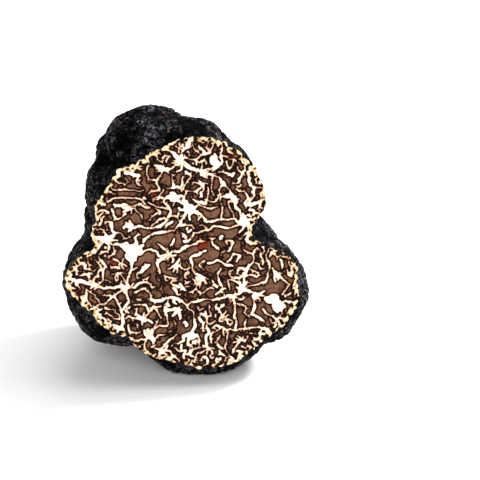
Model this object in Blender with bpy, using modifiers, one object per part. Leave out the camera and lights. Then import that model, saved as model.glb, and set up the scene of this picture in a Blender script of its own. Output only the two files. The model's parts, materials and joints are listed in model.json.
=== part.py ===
"""Black truffle with one side sliced away: a single lumpy body, a flat cut face in front, a small flat below."""

import math

import bmesh
import bpy
from mathutils import Matrix, Vector

MM = 0.001

# The cut face: its middle, measured from the resting spot, and how far it leans back.
FACE_MIDDLE = Vector((0.0, -15.5, 29.8)) * MM
FACE_LEAN = math.radians(10.0)

# Swellings of the body, in mm: right, up and behind the middle of the face, then radii along the same three.
LOBES = (
    ("crown_left", (-4.9, 17.6, 13.0), (11.8, 11.9, 12.5)),
    ("crown_right", (2.8, 16.8, 9.4), (10.3, 10.5, 11.5)),
    ("crown_back", (1.5, 12.0, 21.0), (14.0, 13.5, 13.0)),
    ("brow", (5.6, 12.3, 4.5), (11.6, 11.5, 9.5)),
    ("left_shoulder", (-12.0, 11.8, 9.0), (7.5, 8.5, 9.0)),
    ("left_side", (-6.5, 8.2, 4.0), (11.4, 10.5, 9.0)),
    ("left_tip", (-17.3, -4.8, 6.0), (6.8, 6.6, 10.0)),
    ("left_cheek", (-12.7, -8.6, 10.8), (12.3, 13.6, 13.5)),
    ("left_back", (-8.4, 1.0, 22.5), (11.5, 13.0, 12.0)),
    ("belly", (4.9, -14.5, 8.8), (16.4, 15.1, 12.5)),
    ("right_cheek", (15.9, -11.2, 9.2), (12.3, 12.4, 12.0)),
    ("right_tip", (18.0, -7.5, 4.5), (6.6, 6.8, 8.0)),
    ("right_back", (12.0, -6.5, 16.5), (12.3, 12.5, 13.0)),
    ("core", (0.5, -4.0, 17.0), (19.0, 21.5, 21.0)),
    ("bottom_back", (0.0, -15.4, 23.0), (12.5, 11.8, 11.0)),
    ("foot", (0.0, -17.0, 16.5), (11.5, 12.0, 9.5)),
)

# Edge of the cut, in mm right of and above its middle, anticlockwise from the top.
FACE_EDGE = (
    (5.2, 23.9), (-1.3, 23.1), (-5.7, 21.2), (-8.1, 19.2), (-12.9, 17.6), (-14.9, 13.7), (-17.6, 11.2),
    (-17.4, 7.3), (-19.2, 4.2), (-18.3, 1.6), (-21.0, 0.2), (-24.6, -4.8), (-22.0, -9.5), (-18.6, -12.8),
    (-14.8, -17.2), (-12.1, -17.8), (-8.8, -21.7), (-3.0, -23.6), (2.8, -25.0), (6.5, -25.6), (11.9, -24.0),
    (16.0, -21.0), (21.2, -16.1), (23.9, -9.9), (24.4, -5.0), (22.3, -1.9), (18.5, -0.2), (15.1, 2.4),
    (14.7, 4.4), (17.2, 7.7), (17.6, 12.0), (14.6, 18.2), (9.9, 22.4),
)
COLLAR_BEHIND = 1.8 * MM  # how far the shape of the edge is carried back into the body
COLLAR_AHEAD = 2.5 * MM  # and forward, to be sliced off

JOIN_VOXEL = 0.8 * MM
JOIN_SMOOTHING = 6
LUMP_SIZE = 5.0 * MM
LUMP_HEIGHT = 1.3 * MM
KEPT_FACES = 0.18
CUTTER_SIDE = 120.0 * MM


def face_frame():
    """The middle of the cut face as a frame: X to the right, Y up the face, Z out of it."""
    right = Vector((1.0, 0.0, 0.0))
    up = Vector((0.0, math.sin(FACE_LEAN), math.cos(FACE_LEAN)))
    frame = Matrix((right, up, right.cross(up))).transposed().to_4x4()
    frame.translation = FACE_MIDDLE
    return frame


def new_collection(name):
    collection = bpy.data.collections.new(name)
    bpy.context.scene.collection.children.link(collection)
    return collection


def new_object(name, bm, collection):
    mesh = bpy.data.meshes.new(name)
    bm.to_mesh(mesh)
    bm.free()
    obj = bpy.data.objects.new(name, mesh)
    collection.objects.link(obj)
    return obj


def add_lobe(bm, frame, centre, radii):
    right, up, behind = Vector(centre) * MM
    place = Matrix.Translation((right, up, -behind)) @ Matrix.Diagonal((*(Vector(radii) * MM), 1.0))
    bmesh.ops.create_icosphere(bm, subdivisions=5, radius=1.0, matrix=frame @ place)


def add_collar(bm, frame):
    """A short prism with the outline of the cut, so that its notches run back into the body."""
    curve = bpy.data.curves.new("face_edge", "CURVE")
    curve.dimensions = "2D"
    curve.fill_mode = "BOTH"
    curve.extrude = (COLLAR_BEHIND + COLLAR_AHEAD) / 2
    spline = curve.splines.new("BEZIER")
    spline.bezier_points.add(len(FACE_EDGE) - 1)
    for point, (right, up) in zip(spline.bezier_points, FACE_EDGE):
        point.co = (right * MM, up * MM, (COLLAR_AHEAD - COLLAR_BEHIND) / 2)
        point.handle_left_type = point.handle_right_type = "AUTO"
    spline.use_cyclic_u = True
    outline = bpy.data.objects.new("face_edge", curve)
    bpy.context.scene.collection.objects.link(outline)
    mesh = bpy.data.meshes.new_from_object(outline)
    mesh.transform(frame)
    bm.from_mesh(mesh)
    for made in (outline, mesh, curve):
        bpy.data.batch_remove([made])


def skin_material():
    material = bpy.data.materials.new("peridium")
    material.use_nodes = True
    shader = material.node_tree.nodes["Principled BSDF"]
    shader.inputs["Base Color"].default_value = (0.018, 0.014, 0.014, 1.0)
    shader.inputs["Roughness"].default_value = 0.6
    shader.inputs["Metallic"].default_value = 0.0
    return material


def grow_body(frame, collection):
    """Every swelling and the collar, grown into one skin with small lumps."""
    bm = bmesh.new()
    for _, centre, radii in LOBES:
        add_lobe(bm, frame, centre, radii)
    add_collar(bm, frame)
    body = new_object("truffle", bm, collection)
    body.data.materials.append(skin_material())

    join = body.modifiers.new("join", "REMESH")
    join.mode = "VOXEL"
    join.voxel_size = JOIN_VOXEL
    soften = body.modifiers.new("soften", "SMOOTH")
    soften.factor = 0.5
    soften.iterations = JOIN_SMOOTHING
    noise = bpy.data.textures.new("lumps", "CLOUDS")
    noise.noise_scale = LUMP_SIZE
    lumps = body.modifiers.new("lumps", "DISPLACE")
    lumps.texture = noise
    lumps.strength = LUMP_HEIGHT
    lumps.mid_level = 0.5
    thin = body.modifiers.new("thin", "DECIMATE")
    thin.ratio = KEPT_FACES
    return body


def cutter_below(name, frame, collection):
    """A block whose top face lies on the frame's XY plane, for slicing off all that is past that plane."""
    bm = bmesh.new()
    side = Matrix.Diagonal((CUTTER_SIDE, CUTTER_SIDE, CUTTER_SIDE, 1.0))
    bmesh.ops.create_cube(bm, size=1.0, matrix=frame @ Matrix.Translation((0, 0, -CUTTER_SIDE / 2)) @ side)
    cutter = new_object(name, bm, collection)
    cutter.hide_render = True
    cutter.display_type = "WIRE"
    return cutter


def slice_off(body, cutter):
    cut = body.modifiers.new(cutter.name, "BOOLEAN")
    cut.operation = "DIFFERENCE"
    cut.solver = "EXACT"
    cut.object = cutter


def main():
    for obj in list(bpy.data.objects):
        bpy.data.objects.remove(obj, do_unlink=True)
    parts = new_collection("black_truffle")
    cutters = new_collection("cutters")
    cutters.hide_render = True

    frame = face_frame()
    body = grow_body(frame, parts)
    knife = frame @ Matrix.Rotation(math.pi, 4, "X")
    slice_off(body, cutter_below("knife_cut", knife, cutters))
    slice_off(body, cutter_below("resting_flat", Matrix.Identity(4), cutters))


main()
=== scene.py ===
"""Black truffle, sliced: warty black skin round a flat cut of dark flesh with white veins."""

import json
import math
from itertools import product

import bmesh
import bpy
import numpy as np
from mathutils import Matrix, Vector, geometry, kdtree, noise

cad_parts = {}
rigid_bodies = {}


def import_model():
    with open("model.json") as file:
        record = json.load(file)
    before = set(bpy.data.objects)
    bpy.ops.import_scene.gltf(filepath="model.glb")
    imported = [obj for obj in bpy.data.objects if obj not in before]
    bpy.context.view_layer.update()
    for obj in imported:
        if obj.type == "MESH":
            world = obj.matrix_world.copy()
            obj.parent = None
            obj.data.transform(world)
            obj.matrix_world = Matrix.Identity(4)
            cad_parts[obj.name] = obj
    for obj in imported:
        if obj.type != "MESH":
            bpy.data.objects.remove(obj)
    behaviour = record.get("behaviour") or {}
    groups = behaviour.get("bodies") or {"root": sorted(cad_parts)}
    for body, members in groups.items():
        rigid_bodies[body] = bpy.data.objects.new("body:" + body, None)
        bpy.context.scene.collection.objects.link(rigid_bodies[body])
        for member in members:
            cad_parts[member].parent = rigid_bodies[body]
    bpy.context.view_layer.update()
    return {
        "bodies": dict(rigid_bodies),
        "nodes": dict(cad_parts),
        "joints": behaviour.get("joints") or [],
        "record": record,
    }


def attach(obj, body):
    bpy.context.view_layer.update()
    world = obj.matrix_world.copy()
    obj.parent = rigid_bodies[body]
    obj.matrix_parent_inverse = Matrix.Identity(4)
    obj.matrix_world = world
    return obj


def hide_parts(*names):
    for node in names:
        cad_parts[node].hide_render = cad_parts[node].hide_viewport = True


MM = 0.001
SKIN, FLESH = 0, 1  # the mesh's materials, by index
skin_rng = np.random.default_rng(7)  # skin and veins draw apart, so that one can change without the other
vein_rng = np.random.default_rng(3)

# ---------------------------------------------------------------- sizes of the skin, in mm or as shares
CAP_STOCK = 3.0  # flesh added past the cut, so that warts run up to it before it is sliced again
VOXEL = 0.385
SKIN_SMOOTHING = 4  # rounds
WELD = 1e-4
SNAP_TO_CUT = 0.10  # skin points this near the cut are moved onto it
ON_CUT = 1e-4  # a point this near the cut's plane counts as on it
CAD_ON_CUT, CAD_FACES_OUT = 0.01, 0.999  # tolerances that pick out the CAD's faces on the cut

WART_SPACING = 1.45
WART_SCATTER = 0.12
WART_SLOPE = 0.55 * WART_SPACING  # a wart's top is where the next one's middle is this much further away
WART_HEIGHT = 0.36
WART_LEAST, WART_RANGE = 0.45, 0.75  # the smallest wart's share of that height, and what the largest adds
WART_SUNK = 0.45  # share of a wart that lies below the CAD's surface
WEAR_AND_SHEEN_LEAST = 0.4  # share of wear and painted sheen at the smallest wart's top, where the largest has 1; smaller tops also keep more painted shade
FISSURE_WIDTH, FISSURE_DEPTH = 0.30, 0.10
LUMP_SIZE, LUMP_HEIGHT = 4.0, 0.35
GRAIN_SIZE, GRAIN_HEIGHT = 0.7, 0.05
CRUMB_SIZE, CRUMB_HEIGHT = 1.1, 0.55
CRUMB_ZONE = 0.9  # the skin crumbles this near the cut
FLAT_FADE = 1.2  # warts die out this far above the resting flat

# ---------------------------------------------------------------- sizes of the cut, in mm, radians or shares
GRID = 0.10  # step of the grid that holds the veins
MARGIN = 2.0
FIELD_REACH = 1.6  # how far from a vein the field is worked out
EDGE_WIDTH = 1.2 * GRID  # grid points this near the edge of a vein are where the field starts from
DOT_STEP = 0.15  # a vein is a row of dots this far apart
LARGEST_DOT = 0.8
DOT_CORE = 0.5  # clear flesh is measured from this share of a dot's radius

# Smooth random clouds that bend, swell and spread the veins: each a strength and the size of its waves.
BROAD_WARP = (0.14, 0.8)
FINE_WARP = (0.08, 0.35)
MEANDER = (0.25, 0.75)
SWELLING = (0.35, 0.5)
SWELL_LIMITS = (0.45, 2.0)
ROOM_CHANGE = (0.25, 2.0)
ROOM_LIMITS = (0.55, 1.5)
RAGGED_RIM = (0.30, 0.28)

CENTRE_ROOM = 1.10  # flesh further than this from every vein gets a new twig
RIM_ROOM = 0.60
RIM_ZONE = 5.0  # how far in from the skin the veins lie closer together
RIM_BAND = 0.16  # pale border of the cut under the skin
VEIN_BLUR = 0.055
MAIN_START, MAIN_END, MAIN_SPUR = 0.85, 0.70, 0.65  # shares of a main vein's radius, the last for its spikes

STAR_DOTS = 4
STAR_SCATTER = 0.30
STAR_DOT_RADIUS = (0.42, 0.65)
ARMS, ARMS_PER_MM = 4, 3
ARM_TURN = 0.3
ARM_LENGTH, ARM_LEAST_LENGTH = (1.2, 2.4), 0.8
ARM_RADIUS, ARM_LEAST_RADIUS = 0.32, 0.07

SPUR_SPACING = 0.90
SPUR_TURN = 0.4
SPUR_LENGTH = (0.15, 0.65)
SPUR_STEP = 0.8 * DOT_STEP
SPUR_RADIUS = 0.75
POINT_RADIUS = 0.05

TURNS = np.array((-0.7, -0.35, 0.0, 0.35, 0.7))  # what a growing vein looks at, off its heading
TURN_COST = 0.12
TURN_SHARE = 0.45
LOOK_AHEAD = 0.60
OPEN_FLESH = 0.9  # more room than this ahead is no better
WHIM = 0.05
BEND_KEPT, BEND_CHANGE = 0.75, 0.16
TAPER = 0.5
SHORTEST_GAP = 0.42  # a growing vein ends when another is this near

TWIG_RADIUS, TWIG_RANGE = 0.145, (0.65, 1.40)
TWIG_LENGTH = (0.6, 4.5)
TWIG_INSET = 0.3  # no twig starts nearer to the skin
TWIGS_AT_ONCE = 200
BUDDING_SHARE = 0.82  # twigs that bud from a vein, where the rest lie on their own
STEM_OVERLAP, STEM_SWELL = 0.05, 1.2
LONE_LENGTH, LONE_WIDTHS = (0.2, 1.8), (1.0, 1.0, 1.6)

FINE_FACE = 0.225  # spacing of the cut's points near the edge of a vein, and away from it
COARSE_FACE = 0.55
EDGE_ZONE = 0.35
SNAP_REACH = 0.45 * FINE_FACE  # points this near the edge of a vein are moved onto it
RIM_CLEARANCE = 0.5 * FINE_FACE
STEEP = 0.5  # slope of the field above which it points clearly to an edge
STAIN_FADE = 1.6

# Where veins meet in stars and blobs on the cut: right, up, radius.
STARS = (
    (0.5, 19.0, 0.85), (5.0, 16.5, 0.5), (2.0, 9.0, 0.95), (-1.0, 11.5, 0.6), (-4.0, 12.0, 0.6),
    (-10.5, 10.0, 0.5), (-3.5, 17.5, 0.4), (13.5, 5.5, 0.85), (-15.5, 3.5, 0.9), (-17.5, 2.5, 0.7),
    (-10.5, 0.5, 1.0), (10.5, 11.0, 0.4), (8.0, 18.5, 0.7), (4.5, 14.0, 0.4), (-10.5, 6.0, 0.5),
    (-2.5, -0.5, 0.5), (13.0, -8.0, 0.6), (15.5, -10.5, 0.7), (19.5, -11.0, 1.2), (20.5, -13.0, 0.6),
    (-18.5, -6.0, 0.45), (-12.0, -7.0, 0.55), (10.5, -10.5, 0.4), (8.0, -14.5, 0.5), (1.0, -18.5, 0.7),
    (-8.5, -14.0, 0.6), (-1.5, -3.0, 0.6), (3.0, -7.0, 0.4), (4.0, -6.0, 0.5), (-13.5, -4.0, 0.5),
    (-13.0, -1.5, 0.4), (20.0, -6.5, 0.5), (-7.5, -18.0, 0.7), (-5.0, -21.5, 0.6), (-23.0, -9.0, 0.5),
    (-22.5, -2.5, 0.4), (12.0, -20.0, 0.4), (-16.5, -14.5, 0.6), (5.0, -21.5, 0.5), (-13.5, 16.5, 0.5),
)

# Rusty stains on the cut: right, up, radius.
STAINS = (
    (4.5, 1.7, 1.3), (-7.5, -17.6, 0.8), (-14.5, -1.2, 0.8),
    (-5.5, 12.8, 0.7), (10.5, 20.0, 1.0), (3.2, -7.0, 0.7),
)

# The main veins of the cut, each a radius and the points it passes.
VEINS = (
    (0.30, ((0.5, 19.0), (2.5, 17.5), (5.0, 16.5), (7.0, 16.3), (7.0, 13.0), (7.5, 11.8))),
    (0.30, ((0.5, 19.0), (-1.5, 17.8), (-3.5, 17.5), (-5.0, 18.5))),
    (0.32, ((0.5, 19.0), (-0.5, 21.0), (-3.0, 22.0))),
    (0.22, ((0.5, 19.0), (2.5, 20.0), (5.0, 20.0), (7.0, 20.8))),
    (0.22, ((-3.5, 17.5), (-5.0, 15.0), (-4.5, 13.0))),
    (0.20, ((-15.0, 14.8), (-13.5, 13.5), (-10.0, 13.7), (-7.5, 13.8))),
    (0.20, ((-14.5, 11.5), (-12.0, 12.3), (-9.5, 12.0), (-7.5, 11.0))),
    (0.24, ((-13.5, 10.8), (-10.5, 10.0), (-8.5, 10.3), (-6.5, 9.8))),
    (0.32, ((2.0, 9.0), (1.0, 10.8), (-1.0, 11.5), (-4.0, 12.0))),
    (0.22, ((0.5, 11.0), (1.2, 13.0), (3.0, 13.2), (4.5, 14.0))),
    (0.20, ((2.0, 9.0), (3.8, 9.6), (7.5, 9.3))),
    (0.25, ((2.0, 9.0), (4.3, 8.0), (5.5, 6.5), (8.0, 6.5), (11.0, 6.2), (13.5, 5.5))),
    (0.25, ((2.0, 9.0), (0.5, 7.0), (-1.0, 5.2), (-5.0, 4.5), (-8.3, 2.8))),
    (0.24, ((-10.5, 6.0), (-8.0, 5.6), (-5.0, 6.2), (-3.0, 7.0), (-2.5, 9.0), (-4.0, 12.0))),
    (0.24, ((13.5, 5.5), (11.5, 8.5), (11.2, 12.5), (9.0, 13.3), (7.0, 16.3))),
    (0.30, ((13.5, 5.5), (14.5, 3.5), (14.0, 1.5))),
    (0.24, ((13.5, 5.5), (10.0, 4.5), (7.5, 5.2), (5.0, 4.0), (0.5, 2.0))),
    (0.24, ((-10.5, 0.5), (-6.5, 1.2), (-4.5, -0.7), (-2.5, -0.5))),
    (0.26, ((-4.8, 2.0), (-2.5, -0.5), (0.0, 0.5), (2.0, 1.3), (5.0, 2.5))),
    (0.26, ((-2.5, -0.5), (-4.8, -1.8), (-5.0, -4.5))),
    (0.36, ((-19.5, 4.5), (-15.5, 3.5), (-13.0, 2.2), (-10.5, 0.5), (-11.0, -3.0), (-12.0, -7.0))),
    (0.28, ((-24.0, -4.5), (-20.5, -6.0), (-15.5, -6.3), (-12.0, -7.0))),
    (0.20, ((-18.5, -6.2), (-16.5, -5.0), (-16.5, -2.5))),
    (0.28, ((-12.0, -7.0), (-11.8, -10.0), (-13.0, -12.5), (-13.0, -16.5))),
    (0.18, ((-12.0, -7.0), (-15.5, -9.5), (-18.5, -11.0))),
    (0.20, ((-10.5, -8.0), (-8.5, -7.0), (-6.5, -8.5), (-6.5, -10.0))),
    (0.26, ((-6.5, -10.0), (-3.0, -10.3), (1.0, -11.0), (5.0, -10.3), (10.5, -10.5), (13.0, -8.0))),
    (0.26, ((13.0, -8.0), (13.5, -4.5), (15.0, -1.5), (16.0, 0.0))),
    (0.34, ((13.0, -8.0), (15.5, -10.5), (14.5, -14.5), (17.0, -16.0))),
    (0.30, ((10.5, -10.5), (10.8, -15.0), (10.8, -17.5), (14.5, -17.5), (18.0, -18.3))),
    (0.24, ((10.8, -17.5), (8.0, -17.0), (6.0, -18.0))),
    (0.22, ((9.5, -18.0), (9.0, -20.5), (9.5, -23.0))),
    (0.18, ((17.0, -13.5), (19.0, -14.5), (20.5, -17.0))),
    (0.26, ((1.0, -11.0), (1.8, -14.0), (2.0, -17.0), (1.0, -18.5))),
    (0.18, ((-3.5, -12.0), (-3.5, -16.0), (-7.0, -16.2))),
    (0.26, ((4.5, -13.0), (5.0, -17.0), (4.8, -20.5), (4.0, -23.0))),
    (0.20, ((-2.0, -18.0), (-3.5, -19.3), (-6.5, -20.5))),
    (0.24, ((5.0, -0.5), (1.5, -1.8), (2.0, -4.0), (4.0, -6.0))),
    (0.20, ((5.0, -3.0), (8.0, -2.8), (10.5, -4.2))),
    (0.20, ((8.0, -4.0), (8.0, -7.5))),
    (0.18, ((12.5, -1.0), (11.0, -1.2), (9.5, -2.5))),
    (0.20, ((18.0, -1.5), (18.5, -4.5), (17.5, -8.0), (13.0, -8.0))),
    (0.24, ((19.0, -5.0), (20.0, -6.5), (21.5, -8.0))),
    (0.20, ((-16.5, -11.0), (-14.0, -11.5), (-13.8, -14.0))),
    (0.20, ((-8.5, -14.0), (-7.0, -12.0), (-5.0, -11.5))),
)


def face_frame(mount):
    """The cut's middle as a frame, from the record's mount: X to the right, Y up the face, Z out of it."""
    out = Vector(mount["axis"]).normalized()
    right = Vector((0.0, 0.0, 1.0)).cross(out).normalized()
    frame = Matrix((right, out.cross(right), out)).transposed().to_4x4()
    frame.translation = Vector(mount["pos_m"])
    return frame


def coordinates(mesh):
    found = np.empty(len(mesh.vertices) * 3, np.float32)
    mesh.vertices.foreach_get("co", found)
    return found.reshape(-1, 3).astype(float)


def store(mesh, name, values):
    attribute = mesh.attributes.new(name, "FLOAT", "POINT")
    attribute.data.foreach_set("value", np.asarray(values, np.float32))


def smoothstep(low, high, x):
    t = np.clip((x - low) / (high - low), 0.0, 1.0)
    return t * t * (3.0 - 2.0 * t)


def tree_of(points):
    tree = kdtree.KDTree(len(points))
    for i, p in enumerate(points):
        tree.insert(p, i)
    tree.balance()
    return tree


def ring_from(edges, first):
    """Takes a closed ring out of a set of edges, and returns its vertices in order, along the first edge."""
    edges.remove(first)
    start, vert = first.verts
    ring = [start]
    while vert is not start:
        ring.append(vert)
        edge = next(e for e in vert.link_edges if e in edges)
        edges.remove(edge)
        vert = edge.other_vert(vert)
    return ring


# ---------------------------------------------------------------- the body, in mm, in the frame of the cut


class FloorHeight:
    """Height in mm above the floor of points given in the frame of the cut."""

    def __init__(self, frame):
        to_world = np.array(frame)
        self.up = to_world[2, :3]
        self.base = frame.translation.z / MM

    def __call__(self, points):
        return points @ self.up + self.base


def cad_in_face_frame(node, to_face):
    """The CAD solid, welded, in mm in the frame of the cut."""
    bm = bmesh.new()
    bm.from_mesh(node.data)
    bm.transform(Matrix.Scale(1.0 / MM, 4) @ to_face)
    bmesh.ops.remove_doubles(bm, verts=bm.verts, dist=WELD)
    return bm


def cut_outline(bm):
    """The outline of the CAD's cut face as points in order, and its faces."""
    faces = [f for f in bm.faces if f.normal.z > CAD_FACES_OUT and abs(f.calc_center_median().z) < CAD_ON_CUT]
    on_cut = set(faces)
    edges = {e for f in faces for e in f.edges if sum(g in on_cut for g in e.link_faces) == 1}
    ring = ring_from(edges, min(edges, key=lambda e: [v.index for v in e.verts]))
    return np.array([(v.co.x, v.co.y) for v in ring]), faces


def fine_body(bm, cut_faces):
    """The solid with stock added past the cut, remeshed finely and softened."""
    grown = bmesh.ops.extrude_face_region(bm, geom=cut_faces)
    moved = [g for g in grown["geom"] if isinstance(g, bmesh.types.BMVert)]
    bmesh.ops.translate(bm, vec=(0, 0, CAP_STOCK), verts=moved)
    bmesh.ops.delete(bm, geom=cut_faces, context="FACES_KEEP_BOUNDARY")
    bmesh.ops.recalc_face_normals(bm, faces=bm.faces)
    mesh = bpy.data.meshes.new("fine_body")
    bm.to_mesh(mesh)
    bm.free()
    obj = bpy.data.objects.new("fine_body", mesh)
    bpy.context.scene.collection.objects.link(obj)
    remesh = obj.modifiers.new("remesh", "REMESH")
    remesh.mode = "VOXEL"
    remesh.voxel_size = VOXEL
    soften = obj.modifiers.new("soften", "SMOOTH")
    soften.iterations = SKIN_SMOOTHING
    graph = bpy.context.evaluated_depsgraph_get()
    made = bpy.data.meshes.new_from_object(obj.evaluated_get(graph))
    bpy.data.objects.remove(obj)
    bpy.data.meshes.remove(mesh)
    return made


def scattered(points, spacing):
    """Indices of points at least spacing apart, picked in random order."""
    cell = {}
    kept = []
    for i in skin_rng.permutation(len(points)):
        p = points[i]
        key = tuple((p // spacing).astype(int))
        near = (cell.get((key[0] + a, key[1] + b, key[2] + c)) for a, b, c in product((-1, 0, 1), repeat=3))
        if all(other is None or np.sum((points[other] - p) ** 2) > spacing**2 for other in near):
            cell[key] = i
            kept.append(i)
    return kept


def wart_heights(points):
    """Each point's height on its wart, depth in a fissure and wart's size, all from 0 to 1."""
    seeds = points[scattered(points, WART_SPACING)]
    seeds = seeds + skin_rng.normal(0, WART_SCATTER, seeds.shape)
    size = skin_rng.uniform(0.0, 1.0, len(seeds))
    tree = tree_of(seeds)
    near = np.array([[d for _, _, d in tree.find_n(p, 2)] for p in points])
    owner = np.array([tree.find(p)[1] for p in points])
    between = near[:, 1] - near[:, 0]  # nought half-way between two warts
    rise = smoothstep(0.0, WART_SLOPE, between)
    fissure = 1.0 - smoothstep(0.0, FISSURE_WIDTH, between)
    return rise, fissure, size[owner]


def bumps(points, size):
    """Smooth random values between about -1 and 1, one for each point."""
    return np.array([noise.noise(Vector(p) / size) for p in points])


def grow_warts(mesh, floor_height):
    """Pushes the skin out into warts with fissures between them, and stores a value that rises towards the
    tops of larger warts: it sets the painted shade in the fissures and the wear and painted sheen on the
    tops.
    """
    points = coordinates(mesh)
    normals = np.empty(len(points) * 3, np.float32)
    mesh.vertices.foreach_get("normal", normals)
    normals = normals.reshape(-1, 3)
    rise, fissure, size = wart_heights(points)
    height = WART_HEIGHT * (WART_LEAST + WART_RANGE * size) * (rise - WART_SUNK) - FISSURE_DEPTH * fissure
    height += LUMP_HEIGHT * bumps(points, LUMP_SIZE) + GRAIN_HEIGHT * bumps(points, GRAIN_SIZE)
    near_cut = smoothstep(CRUMB_ZONE, 0.0, np.abs(points[:, 2]))
    height += CRUMB_HEIGHT * bumps(points, CRUMB_SIZE) * near_cut
    height *= smoothstep(0.0, FLAT_FADE, floor_height(points))
    points = points + normals * height[:, None]
    points -= np.minimum(floor_height(points), 0.0)[:, None] * floor_height.up
    mesh.vertices.foreach_set("co", points.astype(np.float32).ravel())
    # the painted fissure shade and the wear and painted sheen on the tops follow this value
    store(mesh, "wart", rise * (WEAR_AND_SHEEN_LEAST + (1.0 - WEAR_AND_SHEEN_LEAST) * size))
    mesh.update()


# ---------------------------------------------------------------- the veins, on a grid over the cut, in mm


class Grid:
    """A square grid over the cut, with values read between its points."""

    def __init__(self, outline):
        self.low = outline.min(0) - MARGIN
        self.shape = tuple(np.ceil((outline.max(0) + MARGIN - self.low) / GRID).astype(int) + 1)
        waves = (np.fft.fftfreq(self.shape[0], GRID)[:, None], np.fft.rfftfreq(self.shape[1], GRID)[None])
        self.pitch = 2 * math.pi * np.hypot(*waves)  # of each wave that the grid's values are made of

    def axes(self):
        return [self.low[i] + GRID * np.arange(self.shape[i]) for i in (0, 1)]

    def cell(self, point):
        i, j = ((point - self.low) / GRID).astype(int)
        return min(max(i, 0), self.shape[0] - 1), min(max(j, 0), self.shape[1] - 1)

    def read(self, field, points):
        at = np.clip((points - self.low) / GRID, 0, np.array(self.shape) - 1.001)
        i, j = at.astype(int).T
        s, t = (at - np.floor(at)).T
        near = field[i, j] * (1 - t) + field[i, j + 1] * t
        far = field[i + 1, j] * (1 - t) + field[i + 1, j + 1] * t
        return near * (1 - s) + far * s

    def blur(self, field, size):
        return np.fft.irfft2(np.fft.rfft2(field) * np.exp(-0.5 * (self.pitch * size) ** 2), s=self.shape)

    def cloud(self, strength, size):
        """Smooth random values, mostly between -2 and 2 times the strength."""
        field = self.blur(vein_rng.normal(size=self.shape), size)
        return strength * (field / field.std())

    def spread(self, field, reach):
        """The least of field + distance over everything within reach."""
        count = int(math.ceil(reach / GRID))
        padded = np.pad(field, count, constant_values=reach)
        found = np.full(self.shape, reach)
        for i in range(-count, count + 1):
            for j in range(-count, count + 1):
                away = math.hypot(i, j) * GRID
                if away < reach:
                    window = padded[count + i:count + i + self.shape[0], count + j:count + j + self.shape[1]]
                    np.minimum(found, window + away, out=found)
        return found


def inside(points, outline):
    """Which points lie inside a closed outline, by counting crossings."""
    x, y = points[:, 0, None], points[:, 1, None]
    (x0, y0), (x1, y1) = outline.T, np.roll(outline, -1, 0).T
    crosses = (y0 > y) != (y1 > y)
    with np.errstate(divide="ignore", invalid="ignore"):
        at = x0 + (y - y0) * (x1 - x0) / (y1 - y0)
    return (np.sum(crosses & (x < at), axis=1) % 2).astype(bool)


def edge_distance(points, outline):
    """Distance from each point to the closed outline."""
    a = outline[None]
    d = np.roll(outline, -1, 0)[None] - a
    p = points[:, None]
    t = np.clip(np.sum((p - a) * d, -1) / np.sum(d * d, -1), 0.0, 1.0)
    return np.sqrt(np.min(np.sum((a + d * t[..., None] - p) ** 2, -1), 1))


def along(path, step):
    """Points every step or so along a path."""
    path = np.array(path, float)
    found = []
    for a, b in zip(path[:-1], path[1:]):
        count = max(1, int(round(np.linalg.norm(b - a) / step)))
        found += [a + (b - a) * k / count for k in range(count)]
    return found + [path[-1]]


def heading_of(angle):
    return np.array((math.cos(angle), math.sin(angle)))


def rim_gap(grid, outline):
    """Distance in from the cut's edge at each grid point, below nought outside it."""
    xs, ys = grid.axes()
    rows = []
    for x in xs:
        row = np.column_stack([np.full(len(ys), x), ys])
        rows.append(edge_distance(row, outline) * np.where(inside(row, outline), 1.0, -1.0))
    return np.array(rows)

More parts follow.
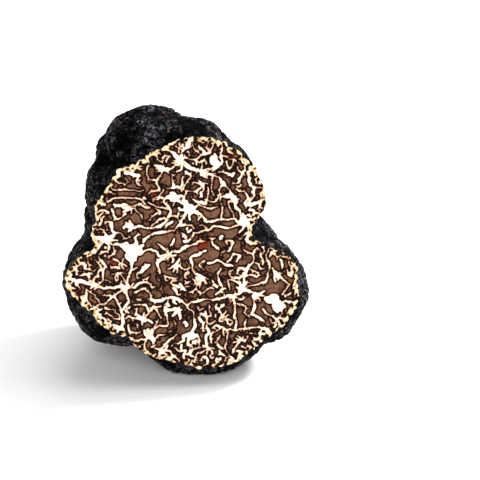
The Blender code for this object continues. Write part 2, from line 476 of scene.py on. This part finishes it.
class Veins:
    """Veins drawn dot by dot on a grid: the gap to the nearest vein's edge, and the clear flesh round it."""

    def __init__(self, grid, rim):
        self.grid, self.rim = grid, rim
        self.xs, self.ys = grid.axes()
        self.gap = np.full(grid.shape, FIELD_REACH)
        self.clear = np.full(grid.shape, FIELD_REACH)
        self.warp = [grid.cloud(*BROAD_WARP) + grid.cloud(*FINE_WARP) for _ in (0, 1)]
        self.meander = [grid.cloud(*MEANDER) for _ in (0, 1)]
        self.swell = np.clip(1.0 + grid.cloud(*SWELLING), *SWELL_LIMITS)
        self.room = self.room_for_twigs()

    def room_for_twigs(self):
        """How far from every vein flesh may lie: less near the skin."""
        deep = smoothstep(0.0, RIM_ZONE, self.rim)
        room = RIM_ROOM + (CENTRE_ROOM - RIM_ROOM + self.grid.cloud(*ROOM_CHANGE)) * deep
        return np.clip(room, *ROOM_LIMITS)

    def dot(self, point, radius):
        cell = self.grid.cell(point)
        middle = point + (self.warp[0][cell], self.warp[1][cell])
        i, j = self.grid.cell(middle)
        reach = int((FIELD_REACH + LARGEST_DOT) / GRID)
        window = (slice(max(i - reach, 0), i + reach), slice(max(j - reach, 0), j + reach))
        away = np.hypot(self.xs[window[0], None] - middle[0], self.ys[None, window[1]] - middle[1])
        self.gap[window] = np.minimum(self.gap[window], away - radius * self.swell[cell])
        self.clear[window] = np.minimum(self.clear[window], away - DOT_CORE * radius)

    def stroke(self, points, thick, thin):
        for k, point in enumerate(points):
            self.dot(point, thick + (thin - thick) * k / max(len(points) - 1, 1))

    def wavy(self, path):
        """Points along a path that leaves its straight stretches in small bends."""
        points = along(path, DOT_STEP)
        return [p + [bend[self.grid.cell(p)] for bend in self.meander] for p in points]

    def star(self, centre, radius):
        """A lumpy blob with arms all round it."""
        for _ in range(STAR_DOTS):
            middle = centre + vein_rng.normal(0, STAR_SCATTER * radius, 2)
            self.dot(middle, radius * vein_rng.uniform(*STAR_DOT_RADIUS))
        count = int(ARMS + ARMS_PER_MM * radius)
        turn = vein_rng.uniform(0, 2 * math.pi)
        for k in range(count):
            angle = turn + 2 * math.pi * k / count + vein_rng.normal(0, ARM_TURN)
            length = vein_rng.uniform(*ARM_LENGTH) * radius + ARM_LEAST_LENGTH
            self.walk(centre, angle, length, ARM_RADIUS * radius + ARM_LEAST_RADIUS, 0.0)

    def serrate(self, points, radius):
        """Spikes along both sides of a vein."""
        step = int(SPUR_SPACING / DOT_STEP)
        for k in range(vein_rng.integers(1, step), len(points) - 1, step):
            angle = math.atan2(*(points[k + 1] - points[k - 1])[::-1])
            angle += vein_rng.choice((-1, 1)) * (math.pi / 2 + vein_rng.normal(0, SPUR_TURN))
            length = radius + vein_rng.uniform(*SPUR_LENGTH)
            spur = [points[k] + heading_of(angle) * d for d in np.arange(0.0, length, SPUR_STEP)]
            self.stroke(spur, SPUR_RADIUS * radius, POINT_RADIUS)

    def walk(self, point, angle, length, radius, shortest_gap=SHORTEST_GAP):
        """A wandering vein that turns towards open flesh and ends before it meets another."""
        points = [point]
        bend = 0.0
        for _ in range(int(length / DOT_STEP)):
            ahead = [self.grid.cell(point + LOOK_AHEAD * heading_of(angle + t)) for t in TURNS]
            score = [min(self.clear[cell], OPEN_FLESH) for cell in ahead] - TURN_COST * np.abs(TURNS)
            best = int(np.argmax(score + vein_rng.normal(0, WHIM, len(TURNS))))
            if self.clear[ahead[best]] < shortest_gap or self.rim[ahead[best]] <= 0.0:
                break
            bend = BEND_KEPT * bend + vein_rng.normal(0, BEND_CHANGE)
            angle += TURN_SHARE * TURNS[best] + bend
            point = point + DOT_STEP * heading_of(angle)
            points.append(point)
        self.stroke(points, radius, max(TAPER * radius, POINT_RADIUS))
        return points

    def sprout(self, i, j):
        """A twig at a grid point: most bud from the nearest vein, the rest lie on their own."""
        point = np.array((self.xs[i], self.ys[j]))
        clear = self.clear[i, j]
        slope = (self.clear[i + 1, j] - self.clear[i - 1, j], self.clear[i, j + 1] - self.clear[i, j - 1])
        away = math.atan2(slope[1], slope[0]) if any(slope) else vein_rng.uniform(0, 2 * math.pi)
        radius = TWIG_RADIUS * vein_rng.uniform(*TWIG_RANGE)
        if clear < FIELD_REACH and vein_rng.random() < BUDDING_SHARE:
            back = np.arange(-clear - STEM_OVERLAP, 0.0, DOT_STEP)
            stem = [point + heading_of(away) * d for d in back]
            self.stroke(stem, STEM_SWELL * radius, radius)
            self.serrate(stem + self.walk(point, away, vein_rng.uniform(*TWIG_LENGTH), radius), radius)
            return
        radius *= vein_rng.choice(LONE_WIDTHS)
        for side in (0.5 * math.pi, 1.5 * math.pi):
            self.serrate(self.walk(point, away + side, vein_rng.uniform(*LONE_LENGTH), radius), radius)

    def fill(self):
        """Twigs until no flesh lies far from a vein."""
        while True:
            open_cells = np.argwhere((self.clear > self.room) & (self.rim > TWIG_INSET))
            if not len(open_cells):
                return
            for i, j in open_cells[vein_rng.permutation(len(open_cells))[:TWIGS_AT_ONCE]]:
                if self.clear[i, j] > self.room[i, j]:
                    self.sprout(i, j)

    def field(self):
        """Distance from the nearest edge of a vein or of the pale rim: below nought inside."""
        band = self.rim - RIM_BAND - self.grid.cloud(*RAGGED_RIM)
        rough = np.where(self.rim > 0.0, np.minimum(self.grid.blur(self.gap, VEIN_BLUR), band), band)
        at_edge = np.abs(rough) < EDGE_WIDTH
        outside = self.grid.spread(np.where(at_edge, rough, FIELD_REACH), FIELD_REACH)
        within = self.grid.spread(np.where(at_edge, -rough, FIELD_REACH), FIELD_REACH)
        return np.where(rough > 0.0, outside, -within)


def vein_field(grid, outline):
    """The field of the whole cut: main veins first, then stars, spikes and twigs."""
    veins = Veins(grid, rim_gap(grid, outline))
    main = [(veins.wavy(path), radius) for radius, path in VEINS]
    for points, radius in main:
        veins.stroke(points, MAIN_START * radius, MAIN_END * radius)
    for right, up, radius in STARS:
        veins.star(np.array((right, up)), radius)
    for points, radius in main:
        veins.serrate(points, MAIN_SPUR * radius)
    veins.fill()
    return veins.field()


# ---------------------------------------------------------------- the cut face


def lattice(spacing, low, high):
    """A triangular lattice over a rectangle."""
    rows = np.arange(low[1], high[1], spacing * math.sqrt(0.75))
    found = []
    for k, y in enumerate(rows):
        xs = np.arange(low[0] + 0.5 * spacing * (k % 2), high[0], spacing)
        found.append(np.column_stack([xs, np.full(len(xs), y)]))
    return np.concatenate(found)


def snapped(points, grid, field):
    """Moves points near the edge of a vein onto it, so that edges in the mesh follow veins."""
    step = 0.5 * GRID
    value = grid.read(field, points)
    slope = np.column_stack([
        grid.read(field, points + (step, 0)) - grid.read(field, points - (step, 0)),
        grid.read(field, points + (0, step)) - grid.read(field, points - (0, step)),
    ]) / (2 * step)
    steep = np.sum(slope**2, 1)
    near = (np.abs(value) < SNAP_REACH) & (steep > STEEP**2)
    moved = points.copy()
    moved[near] -= (value[near] / steep[near])[:, None] * slope[near]
    return moved


def face_points(outline, grid, field):
    """Points over the cut: fine near veins, coarser in between, all a little inside its edge."""
    low, high = outline.min(0), outline.max(0)
    fine = lattice(FINE_FACE, low, high)
    fine = fine[np.abs(grid.read(field, fine)) < EDGE_ZONE]
    coarse = lattice(COARSE_FACE, low, high)
    coarse = coarse[np.abs(grid.read(field, coarse)) >= EDGE_ZONE]
    points = np.concatenate([snapped(fine, grid, field), coarse])
    points = points[inside(points, outline)]
    return points[edge_distance(points, outline) > RIM_CLEARANCE]


def slice_body(mesh):
    """The warty body cut again at the face and left open there. Returns it with its open edge in order."""
    bm = bmesh.new()
    bm.from_mesh(mesh)
    for vert in bm.verts:
        if abs(vert.co.z) < SNAP_TO_CUT:
            vert.co.z = 0.0
    everything = bm.verts[:] + bm.edges[:] + bm.faces[:]
    cut = {"plane_co": (0, 0, 0), "plane_no": (0, 0, 1), "clear_outer": True}
    bmesh.ops.bisect_plane(bm, geom=everything, dist=ON_CUT, **cut)
    stray = [f for f in bm.faces if all(abs(v.co.z) < ON_CUT for v in f.verts)]
    bmesh.ops.delete(bm, geom=stray, context="FACES")
    loose = [v for v in bm.verts if not v.link_faces]
    bmesh.ops.delete(bm, geom=loose, context="VERTS")
    bm.edges.index_update()
    rim = {e for e in bm.edges if e.is_boundary}
    rings = []
    while rim:
        rings.append(ring_from(rim, min(rim, key=lambda e: e.index)))
    return bm, max(rings, key=len)


def close_cut(bm, ring, grid, field):
    """Fills the open edge with the cut face's triangles, and returns that edge's outline."""
    outline = np.array([v.co.xy[:] for v in ring])
    extra = face_points(outline, grid, field)
    points = [Vector(p) for p in np.concatenate([outline, extra])]
    count = len(ring)
    edges = [(i, (i + 1) % count) for i in range(count)]
    made, _, faces, origin, _, _ = geometry.delaunay_2d_cdt(points, edges, [], 1, 1e-7)
    verts = []
    for place, sources in zip(made, origin):
        on_rim = [s for s in sources if s < count]
        verts.append(ring[on_rim[0]] if on_rim else bm.verts.new((place.x, place.y, 0.0)))
    for face in faces:
        corners = [verts[i] for i in face]
        a, b, c = (v.co.xy for v in corners)
        if (b - a).cross(c - a) < 0:
            corners.reverse()
        bm.faces.new(corners).material_index = FLESH
    return outline


def sharpen(ring):
    """Marks the edge between the skin and the cut as sharp."""
    for vert in ring:
        for edge in vert.link_edges:
            if {f.material_index for f in edge.link_faces} == {SKIN, FLESH}:
                edge.smooth = False


def store_cut(mesh, rim, grid, field):
    """Stores what colours the cut: distance from a vein's edge, distance from the skin, and stains."""
    points = coordinates(mesh)
    on_cut = np.abs(points[:, 2]) < ON_CUT
    vein = np.full(len(points), FIELD_REACH)
    vein[on_cut] = grid.read(field, points[on_cut, :2])
    store(mesh, "vein", vein)
    from_rim = np.zeros(len(points))
    tree = tree_of([(*p, 0.0) for p in rim])
    from_rim[on_cut] = [tree.find(p)[2] for p in points[on_cut]]
    store(mesh, "rim", from_rim)
    stain = np.zeros(len(points))
    for right, up, radius in STAINS:
        away = np.hypot(points[on_cut, 0] - right, points[on_cut, 1] - up)
        stain[on_cut] = np.maximum(stain[on_cut], 1.0 - away / (STAIN_FADE * radius))
    store(mesh, "stain", stain)


# ---------------------------------------------------------------- materials


class Nodes:
    """A short way to build a material's node tree."""

    def __init__(self, name):
        self.material = bpy.data.materials.new(name)
        self.material.use_nodes = True
        self.tree = self.material.node_tree
        self.shader = self.tree.nodes["Principled BSDF"]

    def wire(self, socket, value):
        if isinstance(value, bpy.types.NodeSocket):
            self.tree.links.new(value, socket)
        else:
            socket.default_value = value

    def attribute(self, name):
        node = self.tree.nodes.new("ShaderNodeAttribute")
        node.attribute_name = name
        return node.outputs["Fac"]

    def place(self):
        """Position on the piece, in mm."""
        node = self.tree.nodes.new("ShaderNodeTexCoord")
        scaled = self.tree.nodes.new("ShaderNodeVectorMath")
        scaled.operation = "SCALE"
        self.wire(scaled.inputs[0], node.outputs["Object"])
        scaled.inputs["Scale"].default_value = 1.0 / MM
        return scaled.outputs[0]

    def noise(self, place, size, detail=3.0, roughness=0.55, distortion=0.0):
        node = self.tree.nodes.new("ShaderNodeTexNoise")
        self.wire(node.inputs["Vector"], place)
        node.inputs["Scale"].default_value = 1.0 / size
        node.inputs["Detail"].default_value = detail
        node.inputs["Roughness"].default_value = roughness
        node.inputs["Distortion"].default_value = distortion
        return node.outputs["Fac"]

    def math(self, operation, a, b=0.0, c=0.0, clamp=False):
        node = self.tree.nodes.new("ShaderNodeMath")
        node.operation = operation
        node.use_clamp = clamp
        for socket, value in zip(node.inputs, (a, b, c)):
            self.wire(socket, value)
        return node.outputs[0]

    def ramp(self, value, *stops):
        """Colours along a value: each stop is a position and a colour."""
        node = self.tree.nodes.new("ShaderNodeValToRGB")
        self.wire(node.inputs["Fac"], value)
        elements = node.color_ramp.elements
        while len(elements) < len(stops):
            elements.new(1.0)
        for element, (at, colour) in zip(elements, stops):
            element.position = at
            element.color = (*colour, 1.0)
        return node.outputs["Color"]

    def step(self, value, low, high):
        """Nought below low, one above high, smooth in between."""
        node = self.tree.nodes.new("ShaderNodeMapRange")
        node.interpolation_type = "SMOOTHSTEP"
        self.wire(node.inputs["Value"], value)
        node.inputs["From Min"].default_value = low
        node.inputs["From Max"].default_value = high
        return node.outputs["Result"]

    def mix(self, share, a, b):
        node = self.tree.nodes.new("ShaderNodeMix")
        node.data_type = "RGBA"
        self.wire(node.inputs[0], share)
        for socket, value in ((node.inputs[6], a), (node.inputs[7], b)):
            self.wire(socket, (*value, 1.0) if isinstance(value, tuple) else value)
        return node.outputs[2]

    def bump(self, height, distance, strength=1.0):
        node = self.tree.nodes.new("ShaderNodeBump")
        self.wire(node.inputs["Height"], height)
        node.inputs["Distance"].default_value = distance
        node.inputs["Strength"].default_value = strength
        self.wire(self.shader.inputs["Normal"], node.outputs["Normal"])


def srgb(red, green, blue):
    """A colour given in 0-255 display values, as the linear values that shaders take."""
    shares = (c / 255 for c in (red, green, blue))
    return tuple(((c + 0.055) / 1.055) ** 2.4 if c > 0.04045 else c / 12.92 for c in shares)


# painted shade: the near-black that the fissures between warts darken to
SKIN_FISSURE_SHADE = srgb(2, 2, 2)
SKIN_WART = srgb(7, 6, 7)
# wear and painted sheen: the purplish grey painted on wart tops in place of glints on the black skin
SKIN_WEAR_AND_SHEEN = srgb(90, 83, 95)
SKIN_SCUFFED = srgb(84, 66, 60)
SKIN_BUMP = 0.00035  # m
SKIN_ROUGHNESS, GLOSS_SMOOTHING = 0.58, -0.35
SKIN_IOR, GLOSS_IOR = 1.06, 0.50

FLESH_TONES = (
    (0.34, srgb(56, 32, 20)),
    (0.46, srgb(90, 60, 43)),
    (0.58, srgb(116, 82, 62)),
    (0.68, srgb(92, 68, 38)),
)
FLESH_NEAR_SKIN = srgb(132, 78, 38)
FLESH_ROUGHNESS = 0.5
FLESH_SPECULAR = 0.05
FLESH_BUMP = 0.00008  # m
RUST_RED = srgb(120, 26, 10)
RUST_BROWN = srgb(104, 48, 24)
BORDER_WIDTH = 0.8  # mm
BORDER_TONES = (
    (0.0, srgb(130, 60, 34)),
    (0.08, srgb(40, 10, 4)),
    (0.16, srgb(5, 1, 1)),
    (0.36, srgb(10, 3, 2)),
    (0.62, srgb(80, 36, 20)),
)
CREAM_DEPTH = 0.4  # mm
CREAM_TONES = ((0.0, srgb(226, 190, 158)), (0.20, srgb(244, 228, 204)), (0.55, srgb(255, 251, 238)))
CREAM_AT_CRUST = srgb(206, 172, 104)
CREAM_RUSTY = srgb(214, 120, 60)


def skin_material():
    """Near-black skin: wart tops painted a purplish grey for wear and painted sheen, and a little glossy;
    fissures painted black as shade, and dull.
    """
    n = Nodes("peridium")
    place = n.place()
    fine = n.noise(place, 0.55, 4.0, 0.65)
    patch = n.noise(place, 5.0, 2.0)
    worm = n.noise(place, 0.9, 3.0, 0.6, 1.4)
    wart = n.attribute("wart")
    # wear and painted sheen: purplish grey on the wart tops, in patches
    wear_and_sheen = n.math("MULTIPLY", n.step(wart, 0.15, 0.80), n.step(fine, 0.48, 0.62))
    wear_and_sheen = n.math("MULTIPLY", wear_and_sheen, n.step(patch, 0.40, 0.60))
    scuff = n.math("MULTIPLY", n.step(n.noise(place, 3.6, 1.0), 0.68, 0.74), n.step(fine, 0.44, 0.58))
    # painted shade: darker from the wart tops down into the fissures
    colour = n.mix(wart, SKIN_FISSURE_SHADE, SKIN_WART)
    colour = n.mix(wear_and_sheen, colour, SKIN_WEAR_AND_SHEEN)
    colour = n.mix(scuff, colour, SKIN_SCUFFED)
    gloss = n.math("MULTIPLY", n.step(worm, 0.54, 0.62), n.step(patch, 0.36, 0.56))
    n.wire(n.shader.inputs["Base Color"], colour)
    n.wire(n.shader.inputs["Roughness"], n.math("MULTIPLY_ADD", gloss, GLOSS_SMOOTHING, SKIN_ROUGHNESS))
    n.wire(n.shader.inputs["IOR"], n.math("MULTIPLY_ADD", gloss, GLOSS_IOR, SKIN_IOR))
    n.bump(n.math("ADD", fine, worm), SKIN_BUMP)
    return n.material


def flesh_colour(n, speck, rust, place):
    """Brown flesh, mottled, warmer near the skin and rusty in its stains."""
    broad = n.noise(place, 4.0, 2.0)
    near_skin = n.step(n.math("MULTIPLY_ADD", speck, 3.0, n.attribute("rim")), 4.4, 2.0)
    mottle = n.math("MULTIPLY_ADD", speck, 0.55, n.math("MULTIPLY", broad, 0.45))
    flesh = n.mix(near_skin, n.ramp(mottle, *FLESH_TONES), FLESH_NEAR_SKIN)
    return n.mix(rust, flesh, n.mix(n.step(speck, 0.40, 0.65), RUST_RED, RUST_BROWN))


def cream_colour(n, vein, fine, speck, rust):
    """Cream, paler towards a vein's middle, straw-coloured at the skin and tinted by rust."""
    crust = n.step(n.math("MULTIPLY_ADD", speck, 1.5, n.attribute("rim")), 1.9, 1.0)
    cream = n.ramp(n.math("MULTIPLY", vein, -1.0 / CREAM_DEPTH, clamp=True), *CREAM_TONES)
    cream = n.mix(n.math("MULTIPLY", crust, n.step(fine, 0.35, 0.60)), cream, CREAM_AT_CRUST)
    return n.mix(n.math("MULTIPLY", rust, 0.45), cream, CREAM_RUSTY)


def flesh_material():
    """The cut: cream veins with dark borders, in brown flesh."""
    n = Nodes("gleba")
    place = n.place()
    fine = n.noise(place, 0.35, 3.0)
    speck = n.noise(place, 0.8, 3.0, 0.6)
    vein = n.math("ADD", n.attribute("vein"), n.math("MULTIPLY_ADD", fine, 0.10, -0.05))
    rust = n.step(n.math("MULTIPLY_ADD", n.noise(place, 1.1, 2.0), 1.2, n.attribute("stain")), 0.85, 1.05)
    border = n.ramp(n.math("MULTIPLY", vein, 1.0 / BORDER_WIDTH, clamp=True), *BORDER_TONES)
    colour = n.mix(n.step(vein, 0.26, 0.50), border, flesh_colour(n, speck, rust, place))
    colour = n.mix(n.step(vein, 0.04, -0.02), colour, cream_colour(n, vein, fine, speck, rust))
    n.wire(n.shader.inputs["Base Color"], colour)
    n.shader.inputs["Roughness"].default_value = FLESH_ROUGHNESS
    n.shader.inputs["Specular IOR Level"].default_value = FLESH_SPECULAR
    n.bump(n.math("ADD", fine, speck), FLESH_BUMP)
    return n.material


def plain_material(name, colour, roughness):
    n = Nodes(name)
    n.shader.inputs["Base Color"].default_value = (*colour, 1.0)
    n.shader.inputs["Roughness"].default_value = roughness
    return n.material


# ---------------------------------------------------------------- the truffle


def make_truffle(frame):
    """Builds the piece, and returns the frame of its cut."""
    to_world = face_frame(next(m for m in frame["record"]["mounts"] if m["name"] == "cut_face"))
    bm = cad_in_face_frame(frame["nodes"]["truffle"], to_world.inverted())
    outline, cut_faces = cut_outline(bm)
    body = fine_body(bm, cut_faces)
    grow_warts(body, FloorHeight(to_world))
    grid = Grid(outline)
    field = vein_field(grid, outline)

    bm, ring = slice_body(body)
    rim = close_cut(bm, ring, grid, field)
    sharpen(ring)
    mesh = bpy.data.meshes.new("black_truffle")
    bm.to_mesh(mesh)
    bm.free()
    mesh.shade_smooth()
    store_cut(mesh, rim, grid, field)
    mesh.transform(to_world @ Matrix.Scale(MM, 4))
    mesh.materials.append(skin_material())
    mesh.materials.append(flesh_material())

    truffle = bpy.data.objects.new("black_truffle", mesh)
    bpy.context.scene.collection.objects.link(truffle)
    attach(truffle, "root")
    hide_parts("truffle")
    return to_world


# ---------------------------------------------------------------- stage, light and camera, in m and W

FLOOR_SIDE = 6.0
FLOOR_COLOUR = (0.85, 0.85, 0.85)
FLOOR_ROUGHNESS = 0.9
SKY = 0.40
SUN_FROM = (0.45, 0.20, 1.0)
SUN_WIDTH = math.radians(70.0)
SUN_POWER = 2.3
SOFTBOXES = (  # each a name, place, side and power
    ("front", (-0.10, -0.60, 0.35), 0.40, 3.0),
    ("edge", (0.35, 0.10, 0.30), 0.08, 3.0),
)
CAMERA_AZIMUTH = math.radians(-8.0)
CAMERA_ELEVATION = math.radians(22.0)
CAMERA_DISTANCE = 0.280
CAMERA_LENS = 100.0
CAMERA_CLIP = 0.01
LOOK_RIGHT_OF_CUT = 0.0122
LOOK_ABOVE_CUT = 0.0025


def make_floor():
    mesh = bpy.data.meshes.new("floor")
    half = FLOOR_SIDE / 2
    corners = [(-half, -half, 0), (half, -half, 0), (half, half, 0), (-half, half, 0)]
    mesh.from_pydata(corners, [], [(0, 1, 2, 3)])
    mesh.materials.append(plain_material("floor", FLOOR_COLOUR, FLOOR_ROUGHNESS))
    floor = bpy.data.objects.new("floor", mesh)
    bpy.context.scene.collection.objects.link(floor)


def make_sun():
    light = bpy.data.lights.new("sun", "SUN")
    light.energy = SUN_POWER
    light.angle = SUN_WIDTH
    obj = bpy.data.objects.new("sun", light)
    obj.rotation_euler = Vector(SUN_FROM).to_track_quat("Z", "Y").to_euler()
    bpy.context.scene.collection.objects.link(obj)


def make_softbox(name, place, side, power):
    """A square lamp that faces the origin."""
    light = bpy.data.lights.new(name, "AREA")
    light.shape = "SQUARE"
    light.size = side
    light.energy = power
    obj = bpy.data.objects.new(name, light)
    obj.location = place
    obj.rotation_euler = Vector(place).to_track_quat("Z", "Y").to_euler()
    bpy.context.scene.collection.objects.link(obj)


def make_world():
    world = bpy.data.worlds.new("studio")
    world.use_nodes = True
    background = world.node_tree.nodes["Background"]
    background.inputs["Color"].default_value = (1.0, 1.0, 1.0, 1.0)
    background.inputs["Strength"].default_value = SKY
    bpy.context.scene.world = world


def make_camera(cut_middle):
    """The photo's view, aimed a little off the middle of the cut."""
    back = Vector((
        math.sin(CAMERA_AZIMUTH) * math.cos(CAMERA_ELEVATION),
        -math.cos(CAMERA_AZIMUTH) * math.cos(CAMERA_ELEVATION),
        math.sin(CAMERA_ELEVATION),
    ))
    right = Vector((math.cos(CAMERA_AZIMUTH), math.sin(CAMERA_AZIMUTH), 0.0))
    up = back.cross(right)
    data = bpy.data.cameras.new("camera")
    data.lens = CAMERA_LENS
    data.clip_start = CAMERA_CLIP
    camera = bpy.data.objects.new("camera", data)
    placed = Matrix((right, up, back)).transposed().to_4x4()
    placed.translation = cut_middle + right * LOOK_RIGHT_OF_CUT + up * LOOK_ABOVE_CUT + back * CAMERA_DISTANCE
    camera.matrix_world = placed
    bpy.context.scene.collection.objects.link(camera)
    bpy.context.scene.camera = camera


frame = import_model()
cut_frame = make_truffle(frame)
make_floor()
make_world()
make_sun()
for softbox in SOFTBOXES:
    make_softbox(*softbox)
make_camera(cut_frame.translation)
bpy.context.scene.view_settings.view_transform = "Standard"
